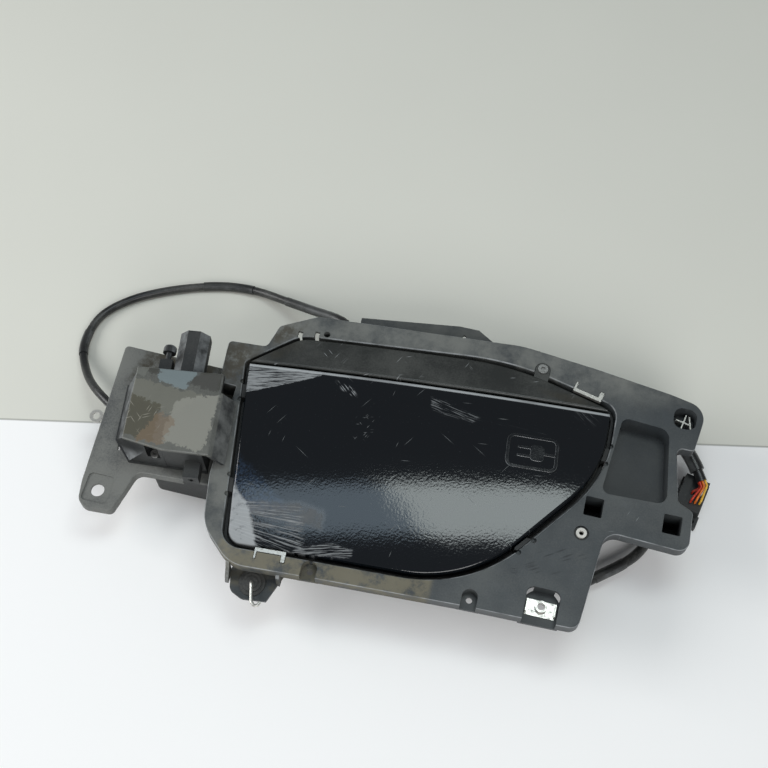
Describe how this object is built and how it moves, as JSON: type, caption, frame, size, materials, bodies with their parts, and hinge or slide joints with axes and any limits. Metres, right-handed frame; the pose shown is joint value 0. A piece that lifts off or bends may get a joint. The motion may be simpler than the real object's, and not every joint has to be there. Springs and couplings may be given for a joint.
{
  "type": "charging port flap assembly",
  "caption": "Charging-port flap in its moulded front frame, with pocket, hinge, push latch, lock, side bracket with a parking sensor, and two cables.",
  "frame": {"origin": "middle of the outer box without the cords, on the surface that the assembly lies on", "axes": "+X along the frame to its right arm, +Y up when it is fitted, +Z out of the front face"},
  "size_m": [0.4904, 0.2622, 0.0785],
  "materials": {
    "frame_plastic": "moulded satin with fine grain",
    "housing_plastic": "plain moulded",
    "flap_paint": "dark blue gloss lacquer, scratched and scuffed",
    "cover_paint": "dark gloss lacquer, scratched",
    "bracket_plastic": "ribbed moulded plate, dusty",
    "sensor_plastic": "plain moulded",
    "sensor_cover_plastic": "satin, dusty and scratched",
    "seal_rubber": "soft, matt",
    "pale_plastic": "natural, aged",
    "clip_metal": "plain sheet",
    "screw_steel": "zinc plated",
    "cable_rubber": "taped loom",
    "wire_red": "wire jacket",
    "wire_orange": "wire jacket",
    "wire_yellow": "wire jacket",
    "wire_white": "wire jacket"
  },
  "bodies": {
    "housing": {"main_frame": "frame_plastic", "pocket_housing": "housing_plastic", "flap_seal": "seal_rubber", "hinge_cover": "cover_paint", "cover_screw": "screw_steel", "hinge_pin": "screw_steel", "hinge_spring": "screw_steel", "latch_body": "housing_plastic", "lock_actuator": "sensor_plastic", "side_bracket": "bracket_plastic", "bracket_screws": "screw_steel", "sensor_housing": "sensor_plastic", "sensor_cover": "sensor_cover_plastic", "connector_pins": "clip_metal", "sensor_screw": "screw_steel", "adjuster_clip": "sensor_plastic", "adjuster_screw": "sensor_plastic", "lower_adjuster": "sensor_plastic", "spring_nut": "clip_metal", "corner_clip": "clip_metal", "boss_ring": "pale_plastic", "lower_retainer": "clip_metal", "upper_retainer": "clip_metal", "ear_grommet": "seal_rubber", "wire_hook": "clip_metal", "loop_junction": "housing_plastic", "loop_cable": "cable_rubber", "ring_lug": "clip_metal", "lead_gland": "seal_rubber", "lower_lead": "cable_rubber", "harness_socket": "sensor_plastic", "harness_plug": "sensor_plastic", "wires_red": "wire_red", "wires_orange": "wire_orange", "wires_yellow": "wire_yellow", "wires_white": "wire_white"},
    "flap": {"flap_skin": "flap_paint", "flap_inner": "housing_plastic", "hinge_arm_left": "housing_plastic", "hinge_arm_right": "housing_plastic", "arm_screws": "screw_steel", "latch_striker": "housing_plastic", "lock_eye": "housing_plastic"},
    "latch": {"latch_plunger": "pale_plastic"},
    "lock": {"lock_pin": "pale_plastic"}
  },
  "joints": [
    {"name": "flap_hinge", "type": "hinge", "parent": "housing", "child": "flap", "pos_m": [-0.00144, 0.07375, 0.057], "axis": [-0.9954, -0.0958, 0], "range_deg": [0, 95]},
    {"name": "latch_slide", "type": "slide", "parent": "housing", "child": "latch", "axis": [0, 0, 1], "range_m": [0, 0.008]},
    {"name": "lock_slide", "type": "slide", "parent": "housing", "child": "lock", "axis": [1, 0, 0], "range_m": [0, 0.008]}
  ],
  "couplings": [
    {"joint": "latch_slide", "follows": "flap_hinge", "m_per_rad": 0.0048}
  ]
}
